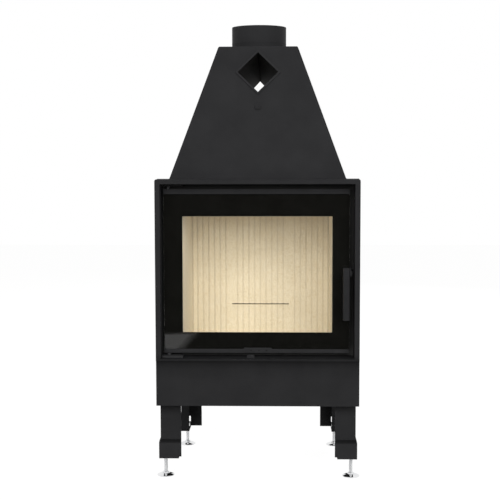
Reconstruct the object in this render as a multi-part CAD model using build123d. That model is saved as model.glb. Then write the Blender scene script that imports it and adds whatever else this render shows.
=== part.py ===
from build123d import *
import os

os.makedirs("parts", exist_ok=True)

# Fireplace insert, in millimetres. Z is up, X runs to the right of someone facing the door, and Y runs
# to the rear. The origin is on the floor, midway across the width and midway along the depth.

# Sheet and plate
sheet = 3.0
plate = 4.0
fit_gap = 0.3
running_gap = 0.05
seat_gap = 0.02

# Stack of heights
ground_clearance = 242.0
apron_height = 147.0
surround_height = 567.0
hood_height = 420.0
collar_height = 74.0

# Surround and niche
surround_overhang = 42.0
bar_width = 16.0
top_bar_height = 15.0
niche_depth = 80.0
lip_drop = 3.0
surround_corner_radius = 6.0
surround_edge_chamfer = 1.5
apron_edge_radius = 2.5
apron_setback = 4.0
apron_return = 54.0
apron_hem = 14.0

# Fire chamber
chamber_width = 480.0
chamber_depth = 372.0
side_lining = 34.0
back_lining = 30.0
hearth_board = 30.0
floor_plate_drop = 19.0
chamber_height = 458.0
centre_board_width = 200.0
air_slot_drop = 353.0
air_slot_height = 4.0
groove_pitch = 20.0
groove_width = 5.0
groove_depth = 4.0
baffle_thickness = 30.0
baffle_front_gap = 90.0
baffle_bar_height = 20.0
hearth_front_gap = 8.0
hearth_board_count = 3

# Mouth of the chamber and its air slots
mouth_side_margin = 8.0
mouth_bottom = 58.0
mouth_top = 90.0
inlet_slot_length = 60.0
inlet_slot_height = 8.0
inlet_slot_pitch = 90.0
inlet_slot_count = 5

# Hood
hood_front_setback = 50.0
hood_front_lean = 95.0
hood_back_lean = 40.0
hood_top_width = 252.0
cap_height = 10.0
cap_radius = 6.0
smoke_outlet_length = 400.0
smoke_outlet_depth = 100.0
smoke_outlet_margin = 36.0

# Flue collar
collar_diameter = 180.0
collar_wall = 2.5

# Heat exchange duct
duct_bore = 92.0
duct_wall = 5.0
duct_top_gap = 2.0
duct_proud = 4.0

# Sensor boss
boss_drop = 110.0
boss_diameter = 20.0
boss_height = 4.0
plug_diameter = 12.0
plug_proud = 1.5
plug_slot_width = 2.0
plug_slot_depth = 1.0

# Combustion air spigot
spigot_diameter = 100.0
spigot_wall = 2.0
spigot_length = 50.0

# Door
door_left_gap = 7.0
door_right_gap = 14.5
door_top_gap = 16.5
door_bottom_gap = 12.0
door_seat_gap = 7.5
glass_thickness = 4.0
strip_thickness = 2.5
strip_height = 16.0
bottom_strip_height = 12.5
tab_width = 84.0
tab_rise = 4.0
glass_tape = 1.5
frame_depth = 17.0
window_side_lap = 2.0
window_end_lap = 13.0
rope_offset = 14.0
rope_width = 10.0
channel_wall = 3.0
channel_floor = 7.5
channel_depth = 8.0
rope_chamfer = 3.0

# Hinges
pin_diameter = 8.0
pin_inset = 14.0
pin_seat_distance = 18.0
pin_reach = 14.0
hinge_plate_thickness = 5.0
hinge_plate_length = 66.0
hinge_plate_inset = 1.0
lower_hinge_depth = 54.0
upper_hinge_depth = 34.0
pin_collar_width = 13.0
hinge_block_depth = 13.0
hinge_block_height = 20.0

# Handle and latch
grip_width = 22.0
grip_depth = 16.0
grip_length = 166.0
grip_clearance = 28.0
grip_drop = 245.5
grip_radius = 6.0
pivot_drop = 15.0
spindle_diameter = 8.0
spindle_depth = 11.0
bracket_thickness = 2.5
bracket_height = 26.0
bracket_reach = 58.0
hook_thickness = 3.0
hook_height = 13.0
hook_rise = 3.0
finger_rise = 9.0
finger_width = 3.5
keeper_diameter = 8.0
keeper_rear_gap = 10.0
keeper_plate = 2.5
keeper_plate_height = 36.0
keeper_plate_depth = 19.0

# Air control
lever_width = 24.0
lever_travel = 44.0
lever_front = 24.0
lever_tip_rise = 10.0
lever_tip_chamfer = 3.5
lever_slot_margin = 4.0
lever_slot_depth = 9.0
lever_clearance = 6.0
lever_overlap = 16.0
lever_bend_radius = 2.5
damper_margin = 12.0
damper_drop = 4.0
window_slot_width = 30.0
window_slot_height = 36.0
window_slot_pitch = 80.0
window_slot_count = 3
guide_stud_diameter = 8.0
guide_head_width = 14.0
guide_head_height = 4.0
guide_stud_spacing = 120.0
guide_row_drop = 12.0
guide_window_gap = 8.0

# Legs and shoes
leg_web = 66.0
leg_side = 80.0
leg_lip = 27.5
leg_tab_height = 78.0
leg_lip_chamfer = 5.0
front_leg_inset = 8.0
shoe_bottom = 61.0
shoe_height = 52.0
shoe_offset = 2.0
shoe_flare_height = 9.0
shoe_floor = 4.0
shoe_floor_margin = 2.0
leg_end_gap = 1.0
shoe_taper_width = 8.0
shoe_taper_height = 26.0
leg_slot_width = 9.0
leg_slot_height = 21.0
leg_slot_inset = 22.3
leg_slot_rise = 10.0
leg_bolt_diameter = 10.0
leg_bolt_head = 17.0
leg_bolt_head_height = 6.4
leg_bolt_rise = 40.0
leg_bolt_play = 5.0
bolt_hole_gap = 0.5

# Levelling feet
foot_stud_diameter = 12.0
foot_stud_reach = 25.0
front_foot_inset = 14.0
rear_foot_inset = 17.0
foot_setback = 20.0
foot_pad_diameter = 56.0
foot_pad_thickness = 4.0
foot_boss_width = 19.0
foot_boss_height = 9.0
weld_nut_width = 18.0
weld_nut_height = 10.0

# Derived heights
z_shelf_under = ground_clearance + apron_height
z_shelf = z_shelf_under + sheet
z_surround_top = z_shelf_under + surround_height
z_hood_top = z_surround_top + hood_height
z_rim = z_hood_top + collar_height
z_floor_plate = z_shelf_under - floor_plate_drop
z_tray_top = z_floor_plate - plate
z_hearth = z_floor_plate + hearth_board
z_lining_top = z_hearth + chamber_height
z_shell_top = z_surround_top - plate

# Derived widths
half_chamber = chamber_width / 2
half_body = half_chamber + side_lining + plate
half_surround = half_body + surround_overhang
half_niche = half_surround - bar_width
front_leg_outer = half_surround - front_leg_inset
rear_leg_outer = half_body

# Derived depths, from the surround's front plane to the spigot's end
overall_depth = niche_depth + plate + chamber_depth + back_lining + plate + spigot_length
y_front = -overall_depth / 2
y_seat = y_front + niche_depth
y_chamber = y_seat + plate
y_lining_back = y_chamber + chamber_depth
y_back = y_lining_back + back_lining + plate
y_apron = y_front + apron_setback
y_base_front = y_apron + apron_return - sheet


def save(name, shape):
    """Writes one sub-part under its node name."""
    shape.label = name
    export_step(shape, f"parts/{name}.step")


def block(x, y, z):
    """A box from three pairs of low and high coordinates."""
    size = Box(x[1] - x[0], y[1] - y[0], z[1] - z[0])
    return Pos((x[0] + x[1]) / 2, (y[0] + y[1]) / 2, (z[0] + z[1]) / 2) * size


def rod(x, y, z0, z1, diameter):
    """An upright cylinder."""
    return Pos(x, y, (z0 + z1) / 2) * Cylinder(diameter / 2, z1 - z0)


def rod_y(x, y0, y1, z, diameter):
    """A cylinder that runs from front to back."""
    return Pos(x, (y0 + y1) / 2, z) * Rot(90, 0, 0) * Cylinder(diameter / 2, y1 - y0)


def rod_x(x0, x1, y, z, diameter):
    """A cylinder that runs across."""
    return Pos((x0 + x1) / 2, y, z) * Rot(0, 90, 0) * Cylinder(diameter / 2, x1 - x0)


def ring(half_x, z, y, spread, radius=0.0):
    """An upright rectangular frame whose bars reach by spread to both sides of half_x and z."""
    wide = block((-half_x - spread, half_x + spread), y, (z[0] - spread, z[1] + spread))
    if radius > 0:
        wide = fillet(wide.edges().filter_by(Axis.Y), radius)
    return wide - block((-half_x + spread, half_x - spread), y, (z[0] + spread, z[1] - spread))


def row(count, pitch):
    """Places along a line, centred on 0."""
    return [(i - (count - 1) / 2) * pitch for i in range(count)]


def hexagon(width, height, turn=0.0):
    """An upright hexagon bar on the origin, by its width across flats."""
    return extrude(RegularPolygon(width / 2, 6, major_radius=False, rotation=turn), height)


# Front surround: one folded sheet frame round the door niche, open to the rear between its walls
niche = block((-half_niche, half_niche), (y_front, y_seat), (z_shelf, z_surround_top - top_bar_height))
frame_body = block((-half_surround, half_surround), (y_front, y_seat), (z_shelf_under, z_surround_top))
top_corners = frame_body.edges().filter_by(Axis.Y).group_by(Axis.Z)[-1]
frame_body = fillet(top_corners, surround_corner_radius)
front_rim = frame_body.faces().sort_by(Axis.Y)[0].edges()
front_rim = front_rim.filter_by(lambda edge: edge.center().Z > z_shelf)
frame_body = chamfer(front_rim, surround_edge_chamfer)
fold_hollow = block(
    (-half_surround + sheet, half_surround - sheet),
    (y_front + sheet, y_seat),
    (z_shelf, z_surround_top - sheet),
) - block(
    (-half_niche - sheet, half_niche + sheet),
    (y_front, y_seat),
    (z_shelf, z_surround_top - top_bar_height + sheet),
)
lip = block(
    (-half_surround, half_surround),
    (y_front, y_front + sheet),
    (z_shelf_under - lip_drop, z_shelf_under),
)
lever_slot = block(
    (-lever_travel / 2 - lever_width / 2 - lever_slot_margin, lever_travel / 2 + lever_width / 2 + lever_slot_margin),
    (y_front + lever_front - sheet, y_front + lever_front - sheet + lever_slot_depth),
    (z_shelf_under, z_shelf),
)
save("front_surround", frame_body - niche - fold_hollow + lip - lever_slot)

# Apron panel: a folded front below the surround, with side returns and a hem along its bottom edge
apron_outside = block(
    (-half_surround, half_surround), (y_apron, y_base_front + sheet), (ground_clearance, z_shelf_under)
)
apron_outside = fillet(
    apron_outside.edges().filter_by(Axis.Z).group_by(Axis.Y)[0], apron_edge_radius
)
apron_inside = block(
    (-half_surround + sheet, half_surround - sheet),
    (y_apron + sheet, y_base_front + sheet),
    (ground_clearance + sheet, z_shelf_under),
)
hem_gap = block(
    (-half_surround + sheet, half_surround - sheet),
    (y_apron + sheet + apron_hem, y_base_front + sheet),
    (ground_clearance, ground_clearance + sheet),
)
save("apron_panel", apron_outside - apron_inside - hem_gap)

# Base front plate: stands between the apron's returns and holds the air windows
z_guide = z_tray_top - damper_drop - guide_row_drop
z_air = (z_guide - guide_window_gap - window_slot_height, z_guide - guide_window_gap)
y_base_sheet = (y_base_front, y_base_front + sheet)
window_slots = [
    block((x - window_slot_width / 2, x + window_slot_width / 2), y_base_sheet, z_air)
    for x in row(window_slot_count, window_slot_pitch)
]
base_front = block(
    (-half_surround + sheet, half_surround - sheet),
    (y_base_front, y_base_front + sheet),
    (ground_clearance, z_tray_top),
)
z_bolt = ground_clearance + leg_bolt_rise
bolt_hole = leg_bolt_diameter + bolt_hole_gap
front_bolt_x = (front_leg_outer - leg_web + half_body - sheet) / 2


def bolt_slot(x, y):
    """A level slot for a leg's bolt, crosswise to the one in the leg's tab."""
    half_length = (bolt_hole + leg_bolt_play) / 2
    return block((x - half_length, x + half_length), y, (z_bolt - bolt_hole / 2, z_bolt + bolt_hole / 2))


for side in (-1, 1):
    base_front -= bolt_slot(side * front_bolt_x, y_base_sheet)
for slot in window_slots:
    base_front -= slot
save("base_front_plate", base_front)

# Base tray: folded air box under the chamber, open at the top, with the spigot hole in its back
y_tray = y_base_front + sheet
z_spigot = (ground_clearance + z_tray_top) / 2
base_tray = block((-half_body, half_body), (y_tray, y_back), (ground_clearance, z_tray_top))
base_tray -= block(
    (-half_body + sheet, half_body - sheet), (y_tray, y_back - sheet), (ground_clearance + sheet, z_tray_top)
)
base_tray -= rod_y(0, y_back - sheet, y_back, z_spigot, spigot_diameter - 2 * spigot_wall)
rear_bolt_x = rear_leg_outer - leg_web / 2
for side in (-1, 1):
    base_tray -= bolt_slot(side * rear_bolt_x, (y_back - sheet, y_back))
save("base_tray", base_tray)

# Combustion air spigot
spigot = rod_y(0, y_back, y_back + spigot_length, z_spigot, spigot_diameter)
spigot -= rod_y(0, y_back, y_back + spigot_length, z_spigot, spigot_diameter - 2 * spigot_wall)
save("air_spigot", spigot)

# Firebox floor plate: lies on the tray and the base front plate, and carries the whole shell
save("floor_plate", block((-half_body, half_body), (y_base_front, y_back), (z_tray_top, z_floor_plate)))

# Door seat plate: closes the niche to the rear, with the mouth of the chamber and the primary air slots
z_mouth = (z_shelf + mouth_bottom, z_surround_top - mouth_top)
half_mouth = half_chamber + mouth_side_margin
seat_plate = block((-half_surround, half_surround), (y_seat, y_chamber), (z_shelf_under, z_surround_top))
seat_plate += block((-half_body, half_body), (y_seat, y_chamber), (z_floor_plate, z_shelf_under))
seat_plate -= block((-half_mouth, half_mouth), (y_seat, y_chamber), z_mouth)
z_inlet = z_floor_plate + (z_shelf_under - z_floor_plate - inlet_slot_height) / 2
for x in row(inlet_slot_count, inlet_slot_pitch):
    seat_plate -= block(
        (x - inlet_slot_length / 2, x + inlet_slot_length / 2),
        (y_seat, y_chamber),
        (z_inlet, z_inlet + inlet_slot_height),
    )
save("door_seat_plate", seat_plate)

# Shell plates of the firebox
for name, side in (("firebox_left", -1), ("firebox_right", 1)):
    xs = sorted((side * (half_body - plate), side * half_body))
    save(name, block(xs, (y_chamber, y_back - plate), (z_floor_plate, z_shell_top)))
save("firebox_back", block((-half_body, half_body), (y_back - plate, y_back), (z_floor_plate, z_shell_top)))
y_outlet = y_back - smoke_outlet_margin
top_plate = block((-half_body, half_body), (y_chamber, y_back), (z_shell_top, z_surround_top))
top_plate -= block(
    (-smoke_outlet_length / 2, smoke_outlet_length / 2),
    (y_outlet - smoke_outlet_depth, y_outlet),
    (z_shell_top, z_surround_top),
)
save("firebox_top", top_plate)

# Hood: a four-sided frustum of sheet, split into its plates, with a folded cap on top
y_hood = (y_front + hood_front_setback, y_back)
y_hood_top = (y_hood[0] + hood_front_lean, y_hood[1] - hood_back_lean)
half_hood_top = hood_top_width / 2
z_cap = z_hood_top - cap_height


def leaning_plane(low, high, across, inward):
    """The plane through two points and a level direction, its normal on the side of inward."""
    along = Vector(*high) - Vector(*low)
    normal = along.cross(Vector(*across)).normalized()
    if normal.dot(Vector(*inward)) < 0:
        normal = -normal
    return Plane(origin=Vector(*low), x_dir=Vector(*across), z_dir=normal)


front_face = leaning_plane(
    (0, y_hood[0], z_surround_top), (0, y_hood_top[0], z_hood_top), (1, 0, 0), (0, 1, 0)
)
back_face = leaning_plane(
    (0, y_hood[1], z_surround_top), (0, y_hood_top[1], z_hood_top), (1, 0, 0), (0, -1, 0)
)
left_face, right_face = (
    leaning_plane(
        (side * half_body, 0, z_surround_top), (side * half_hood_top, 0, z_hood_top), (0, 1, 0), (-side, 0, 0)
    )
    for side in (-1, 1)
)
hood_faces = (front_face, back_face, left_face, right_face)


def hood_solid(z0, z1, inset):
    """The hood's form between two heights, inset from its four leaning faces."""
    form = block((-half_body, half_body), y_hood, (z0, z1))
    for face in hood_faces:
        form = split(form, face.offset(inset), Keep.TOP)
    return form


def on_hood_front(z, direction):
    """A plane on the middle of the hood's front face at one height."""
    y = y_hood[0] + (z - z_surround_top) / hood_height * hood_front_lean
    return Plane(origin=Vector(0, y, z), x_dir=Vector(1, 0, 0), z_dir=direction)


hood_body = hood_solid(z_surround_top, z_cap, 0)
hood_front = split(hood_body, front_face.offset(sheet), Keep.BOTTOM)
hood_rest = split(hood_body, front_face.offset(sheet), Keep.TOP)
hood_back = split(hood_rest, back_face.offset(sheet), Keep.BOTTOM)
hood_rest = split(hood_rest, back_face.offset(sheet), Keep.TOP)

# Heat exchange duct: a square tube on edge, square to the hood's front face, open at both ends
duct_outer = duct_bore + 2 * duct_wall
inward = front_face.z_dir
z_duct = z_cap - duct_top_gap - duct_outer / 2**0.5 * inward.Y + duct_proud * inward.Z
duct_plane = on_hood_front(z_duct, inward)
duct_reach = 2 * (y_back - y_front)
duct_outside = duct_plane * Rot(0, 0, 45) * Box(duct_outer, duct_outer, duct_reach)
duct_inside = duct_plane * Rot(0, 0, 45) * Box(duct_bore, duct_bore, duct_reach)
heat_duct = split(duct_outside - duct_inside, front_face.offset(-duct_proud), Keep.TOP)
heat_duct = split(heat_duct, back_face.offset(-duct_proud), Keep.TOP)
save("heat_exchange_duct", heat_duct)

# Sensor boss and its plug, set square on the hood's front face
boss_plane = on_hood_front(z_duct - boss_drop, -inward)
plug_bore = boss_plane * Cylinder(plug_diameter / 2 + seat_gap, 2 * (boss_height + sheet))
boss = boss_plane * Pos(0, 0, boss_height / 2) * Cylinder(boss_diameter / 2, boss_height)
save("sensor_boss", boss - plug_bore)
plug_length = boss_height + sheet + plug_proud
plug = boss_plane * Pos(0, 0, boss_height + plug_proud - plug_length / 2) * Cylinder(
    plug_diameter / 2, plug_length
)
plug_slot = boss_plane * Pos(0, 0, boss_height + plug_proud) * Box(
    plug_diameter, plug_slot_width, 2 * plug_slot_depth
)
save("sensor_plug", plug - plug_slot)

save("hood_front", hood_front - duct_outside - plug_bore)
save("hood_back", hood_back - duct_outside)
save("hood_left", split(hood_rest, left_face.offset(sheet), Keep.BOTTOM))
save("hood_right", split(hood_rest, right_face.offset(sheet), Keep.BOTTOM))

# Hood cap: a folded lid with rounded edges and the flue hole
y_collar = (y_hood_top[0] + y_hood_top[1]) / 2
cap = hood_solid(z_cap, z_hood_top, 0)
cap = fillet(cap.faces().sort_by(Axis.Z)[-1].edges(), cap_radius)
cap -= hood_solid(z_cap, z_hood_top - sheet, sheet)
cap -= rod(0, y_collar, z_cap, z_hood_top, collar_diameter - 2 * collar_wall)
save("hood_cap", cap)

# Flue collar
collar = rod(0, y_collar, z_hood_top, z_rim, collar_diameter)
collar -= rod(0, y_collar, z_hood_top, z_rim, collar_diameter - 2 * collar_wall)
save("flue_collar", collar)

# Back lining: boards with upright grooves; the middle column is parted by a level air slot
y_board = (y_lining_back, y_lining_back + back_lining)
z_air_slot = z_lining_top - air_slot_drop


def grooved_board(x, z):
    """A back board with upright grooves at the pitch, a flat margin at each edge."""
    board = block(x, y_board, z)
    count = round((x[1] - x[0]) / groove_pitch) - 1
    for step in row(count, groove_pitch):
        centre = (x[0] + x[1]) / 2 + step
        board -= block(
            (centre - groove_width / 2, centre + groove_width / 2),
            (y_board[0], y_board[0] + groove_depth),
            z,
        )
    return board


half_centre = centre_board_width / 2
z_lining = (z_floor_plate, z_lining_top)
save("lining_back_left", grooved_board((-half_chamber, -half_centre), z_lining))
save("lining_back_right", grooved_board((half_centre, half_chamber), z_lining))
save("lining_back_lower", grooved_board((-half_centre, half_centre), (z_floor_plate, z_air_slot)))
save(
    "lining_back_upper",
    grooved_board((-half_centre, half_centre), (z_air_slot + air_slot_height, z_lining_top)),
)

# Side lining and hearth boards
z_side_top = z_lining_top - sheet
for name, side in (("lining_left", -1), ("lining_right", 1)):
    xs = sorted((side * half_chamber, side * (half_chamber + side_lining)))
    save(name, block(xs, (y_chamber, y_lining_back + back_lining), (z_floor_plate, z_side_top)))
y_hearth = (y_chamber + hearth_front_gap, y_lining_back)
board_width = chamber_width / hearth_board_count
hearth = [
    block((x - board_width / 2, x + board_width / 2), y_hearth, (z_floor_plate, z_hearth))
    for x in row(hearth_board_count, board_width)
]
save("hearth_boards", Compound(children=hearth))

# Baffle: two boards that rest on the back lining and on an angle bar across the side lining
y_bar = y_chamber + baffle_front_gap
bar_half = half_chamber + side_lining
bar = block((-bar_half, bar_half), (y_bar, y_bar + baffle_bar_height), (z_side_top, z_lining_top))
bar += block(
    (-half_chamber + sheet, half_chamber - sheet),
    (y_bar, y_bar + sheet),
    (z_side_top - baffle_bar_height, z_side_top),
)
save("baffle_bar", bar)
z_baffle = (z_lining_top, z_lining_top + baffle_thickness)
baffle = [block(xs, (y_bar, y_lining_back + back_lining), z_baffle) for xs in ((-bar_half, 0), (0, bar_half))]
save("baffle_boards", Compound(children=baffle))

# Door outline and its layers, from front to rear
x_door = (-half_niche + door_left_gap, half_niche - door_right_gap)
z_door = (z_shelf + door_bottom_gap, z_surround_top - top_bar_height - door_top_gap)
y_frame_back = y_seat - door_seat_gap
y_frame = y_frame_back - frame_depth
y_flange = y_frame + sheet
y_tape = y_frame - glass_tape
y_glass = y_tape - glass_thickness
y_door = y_glass - strip_thickness
half_window = half_mouth - window_side_lap
z_window = (z_mouth[0] + window_end_lap, z_mouth[1] - window_end_lap)
z_pane = (z_door[0] + strip_thickness, z_door[1] - strip_thickness)

save(
    "door_glass",
    block(
        (x_door[0] + fit_gap, x_door[1] - fit_gap),
        (y_glass, y_tape),
        (z_pane[0] + fit_gap, z_pane[1] - fit_gap),
    ),
)
tape = block((x_door[0] + sheet, x_door[1] - sheet), (y_tape, y_frame), (z_pane[0] + sheet, z_pane[1] - sheet))
tape -= block((-half_window, half_window), (y_tape, y_frame), z_window)
save("glass_tape", tape)

# Door frame: front flange and outer rim folded from one sheet, with the rope channel on its rear
half_rope = half_mouth + rope_offset
z_rope = (z_mouth[0] - rope_offset, z_mouth[1] + rope_offset)
door_frame = block(x_door, (y_frame, y_frame_back), z_pane)
door_frame -= block(
    (x_door[0] + sheet, x_door[1] - sheet), (y_flange, y_frame_back), (z_pane[0] + sheet, z_pane[1] - sheet)
)
door_frame -= block((-half_window, half_window), (y_frame, y_flange), z_window)
half_channel = rope_width / 2 + channel_wall + fit_gap
y_channel = y_flange + channel_floor
y_channel_lips = (y_channel, y_channel + channel_depth)
door_frame += ring(half_rope, z_rope, (y_flange, y_channel_lips[1]), half_channel)
door_frame -= ring(half_rope, z_rope, y_channel_lips, half_channel - channel_wall)
x_pin = x_door[0] + pin_inset
y_pin = y_seat - pin_seat_distance
z_block_low = z_pane[0] + sheet
z_block_high = z_pane[1] - sheet
z_block_lower = (z_block_low, z_block_low + hinge_block_height)
z_block_upper = (z_block_high - hinge_block_height, z_block_high)
pin_hole = pin_diameter + 2 * running_gap
hinge_holes = rod(x_pin, y_pin, z_door[0], z_block_lower[1], pin_hole)
hinge_holes += rod(x_pin, y_pin, z_block_upper[0], z_door[1], pin_hole)
x_hinge_block = (x_door[0] + sheet, -half_rope - half_channel - fit_gap)
y_hinge_block = (y_flange, y_flange + hinge_block_depth)
save("door_frame", door_frame - hinge_holes)
hinge_blocks = [block(x_hinge_block, y_hinge_block, zs) - hinge_holes for zs in (z_block_lower, z_block_upper)]
save("hinge_blocks", Compound(children=hinge_blocks))

# Rope gasket: seated in the channel and bent round its corners, narrower where it meets the seat plate
rope = ring(half_rope, z_rope, (y_channel, y_seat - fit_gap), rope_width / 2, rope_width)
save("door_rope", chamfer(rope.faces().sort_by(Axis.Y)[-1].edges(), min(rope_chamfer, rope_width / 3)))

# Glass strips: folded angles that clamp the pane along its top and bottom edges
y_strip_back = y_tape + fit_gap
top_strip = block(x_door, (y_door, y_glass), (z_door[1] - strip_height, z_door[1]))
top_strip += block(x_door, (y_glass, y_strip_back), (z_pane[1], z_door[1]))
save("glass_strip_top", top_strip)
bottom_strip = block(x_door, (y_door, y_glass), (z_door[0], z_door[0] + bottom_strip_height))
z_tab = z_door[0] + bottom_strip_height
tab_outline = Polyline(
    (-tab_width / 2 - tab_rise, y_door, z_tab),
    (tab_width / 2 + tab_rise, y_door, z_tab),
    (tab_width / 2, y_door, z_tab + tab_rise),
    (-tab_width / 2, y_door, z_tab + tab_rise),
    close=True,
)
tab = extrude(make_face(tab_outline), strip_thickness, dir=(0, 1, 0))
bottom_strip += tab
bottom_strip += block(x_door, (y_glass, y_strip_back), (z_door[0], z_pane[0]))
save("glass_strip_bottom", bottom_strip)

# Hinges: plates fixed to the seat plate, each with a fixed pin that the door turns on
x_hinge_plate = (-half_niche + hinge_plate_inset, -half_niche + hinge_plate_inset + hinge_plate_length)
z_lower_plate = (z_shelf, z_shelf + hinge_plate_thickness)
z_upper_plate = (
    z_door[1] + door_top_gap - hinge_plate_thickness - sheet,
    z_door[1] + door_top_gap - sheet,
)
pin_seat = pin_diameter + 2 * seat_gap
hinge_plates = [
    block(x_hinge_plate, (y_seat - depth, y_seat), zs) - rod(x_pin, y_pin, zs[0], zs[1], pin_seat)
    for depth, zs in ((lower_hinge_depth, z_lower_plate), (upper_hinge_depth, z_upper_plate))
]
save("hinge_plates", Compound(children=hinge_plates))
lower_collar = hexagon(pin_collar_width, z_pane[0] - fit_gap - z_lower_plate[1])
upper_collar = hexagon(pin_collar_width, sheet - fit_gap)
lower_pin = rod(x_pin, y_pin, z_lower_plate[0], z_block_low + pin_reach, pin_diameter)
lower_pin += Pos(x_pin, y_pin, z_lower_plate[1]) * lower_collar
upper_pin = rod(x_pin, y_pin, z_block_high - pin_reach, z_upper_plate[1], pin_diameter)
upper_pin += Pos(x_pin, y_pin, z_upper_plate[1]) * upper_collar
save("hinge_pins", Compound(children=[lower_pin, upper_pin]))

# Handle: a rounded upright grip that hangs on a level spindle at its top end
x_grip = (x_door[1] - fit_gap - grip_width, x_door[1] - fit_gap)
y_grip = (y_glass - grip_clearance - grip_depth, y_glass - grip_clearance)
z_grip_top = z_door[1] - grip_drop
z_pivot = z_grip_top - pivot_drop
y_pivot = (y_grip[0] + y_grip[1]) / 2
grip = block(x_grip, y_grip, (z_grip_top - grip_length, z_grip_top))
grip = fillet(grip.edges().filter_by(Axis.Z), grip_radius)
x_spindle = (x_grip[1] - spindle_depth, x_door[1] + bracket_thickness + fit_gap + hook_thickness)
grip -= rod_x(x_spindle[0], x_grip[1], y_pivot, z_pivot, spindle_diameter + 2 * seat_gap)
save("handle_grip", grip)

# Handle bracket: an ear on the door's edge that the spindle turns in
z_bracket = (z_pivot - bracket_height / 2, z_pivot + bracket_height / 2)
bracket = block((x_door[1], x_door[1] + bracket_thickness), (y_grip[0], y_grip[0] + bracket_reach), z_bracket)
bracket = chamfer(bracket.edges().filter_by(Axis.X).group_by(Axis.Y)[0], bracket_height / 4)
bracket += block((x_door[1], x_door[1] + bracket_thickness), (y_frame, y_frame_back), z_bracket)
bracket -= rod_x(
    x_door[1], x_door[1] + bracket_thickness, y_pivot, z_pivot, spindle_diameter + 2 * running_gap
)
save("handle_bracket", bracket)

# Latch hook: a flat arm on the spindle, with a finger that stands up behind the keeper pin
x_hook = (x_spindle[1] - hook_thickness, x_spindle[1])
y_keeper = y_seat - keeper_rear_gap
y_finger = (y_keeper + keeper_diameter / 2 + fit_gap, y_keeper + keeper_diameter / 2 + fit_gap + finger_width)
z_hook = (z_pivot + hook_rise - hook_height, z_pivot + hook_rise)
hook = block(x_hook, (y_pivot - hook_height / 2, y_finger[1]), z_hook)
hook += block(x_hook, y_finger, (z_hook[1], z_hook[1] + finger_rise))
hook += rod_x(x_hook[0], x_hook[1], y_pivot, z_pivot, hook_height)
hook += rod_x(x_spindle[0], x_spindle[1], y_pivot, z_pivot, spindle_diameter)
save("latch_hook", hook)

# Latch keeper: a pin on a small plate inside the surround's right wall
z_keeper = z_hook[1] + fit_gap + keeper_diameter / 2
keeper = block(
    (half_niche - keeper_plate, half_niche),
    (y_seat - keeper_plate_depth, y_seat),
    (z_keeper - keeper_plate_height / 2, z_keeper + keeper_plate_height / 2),
)
keeper += rod_x(x_hook[0] - fit_gap, half_niche - keeper_plate, y_keeper, z_keeper, keeper_diameter)
save("latch_keeper", keeper)

# Damper plate: slides on two shouldered studs over the air windows
x_lever = (-lever_travel / 2 - lever_width / 2, -lever_travel / 2 + lever_width / 2)
z_damper = (z_air[0] - damper_margin, z_tray_top - damper_drop)
y_damper = (y_base_front - fit_gap - sheet, y_base_front - fit_gap)
window_span = (window_slot_count - 1) * window_slot_pitch / 2 + window_slot_width / 2
stud_places = row(2, guide_stud_spacing)
stud_radius = guide_stud_diameter / 2 + fit_gap
x_damper = (
    min(-lever_travel - window_span, stud_places[0] - lever_travel - stud_radius) - damper_margin,
    max(window_span - lever_travel, stud_places[1] + stud_radius) + damper_margin,
)
damper = block(x_damper, y_damper, z_damper)
for x in row(window_slot_count, window_slot_pitch):
    closed_x = x - lever_travel
    damper -= block((closed_x - window_slot_width / 2, closed_x + window_slot_width / 2), y_damper, z_air)
for x in stud_places:
    damper -= block(
        (x - lever_travel - stud_radius, x + stud_radius), y_damper, (z_guide - stud_radius, z_guide + stud_radius)
    )
save("damper_plate", damper)
studs = []
y_stud_head = y_damper[0] - fit_gap
for x in stud_places:
    stud = rod_y(x, y_stud_head, y_base_front, z_guide, guide_stud_diameter)
    stud += Pos(x, y_stud_head, z_guide) * Rot(90, 0, 0) * hexagon(guide_head_width, guide_head_height)
    studs.append(stud)
save("damper_studs", Compound(children=studs))

# Air lever: one bent strip from the damper plate, under the shelf and up through its slot
y_tip = y_front + lever_front
z_lever = z_shelf_under - lever_clearance
lever_path = Polyline(
    (x_lever[0], y_damper[0], z_damper[1] - lever_overlap),
    (x_lever[0], y_damper[0], z_lever),
    (x_lever[0], y_tip + sheet, z_lever),
    (x_lever[0], y_tip + sheet, z_shelf + lever_tip_rise),
    (x_lever[0], y_tip, z_shelf + lever_tip_rise),
    (x_lever[0], y_tip, z_lever - sheet),
    (x_lever[0], y_damper[0] - sheet, z_lever - sheet),
    (x_lever[0], y_damper[0] - sheet, z_damper[1] - lever_overlap),
    close=True,
)
lever = extrude(make_face(lever_path), lever_width, dir=(1, 0, 0))
lever = chamfer(lever.edges().filter_by(Axis.Y).group_by(Axis.Z)[-1], lever_tip_chamfer)
outer_bends = [
    edge
    for edge in lever.edges().filter_by(Axis.X)
    if (abs(edge.center().Y - y_damper[0]) < seat_gap and abs(edge.center().Z - z_lever) < seat_gap)
    or (abs(edge.center().Y - y_tip) < seat_gap and abs(edge.center().Z - z_lever + sheet) < seat_gap)
]
save("air_lever", fillet(outer_bends, lever_bend_radius))

# Legs: folded channels with a wide web, a side and a narrow lip; a tab of the web is bolted to the base
slot_from_side = leg_slot_inset - leg_slot_width / 2
leg_bottom = shoe_bottom + shoe_floor + leg_end_gap
z_nut_top = shoe_bottom + shoe_floor + weld_nut_height


def bolt_place(rear):
    """How far the leg's bolt stands inward from its outer side."""
    return rear_leg_outer - rear_bolt_x if rear else front_leg_outer - front_bolt_x


def foot_place(rear):
    """How far the foot's stud stands inward from the leg's outer side."""
    return rear_foot_inset if rear else front_foot_inset


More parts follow.
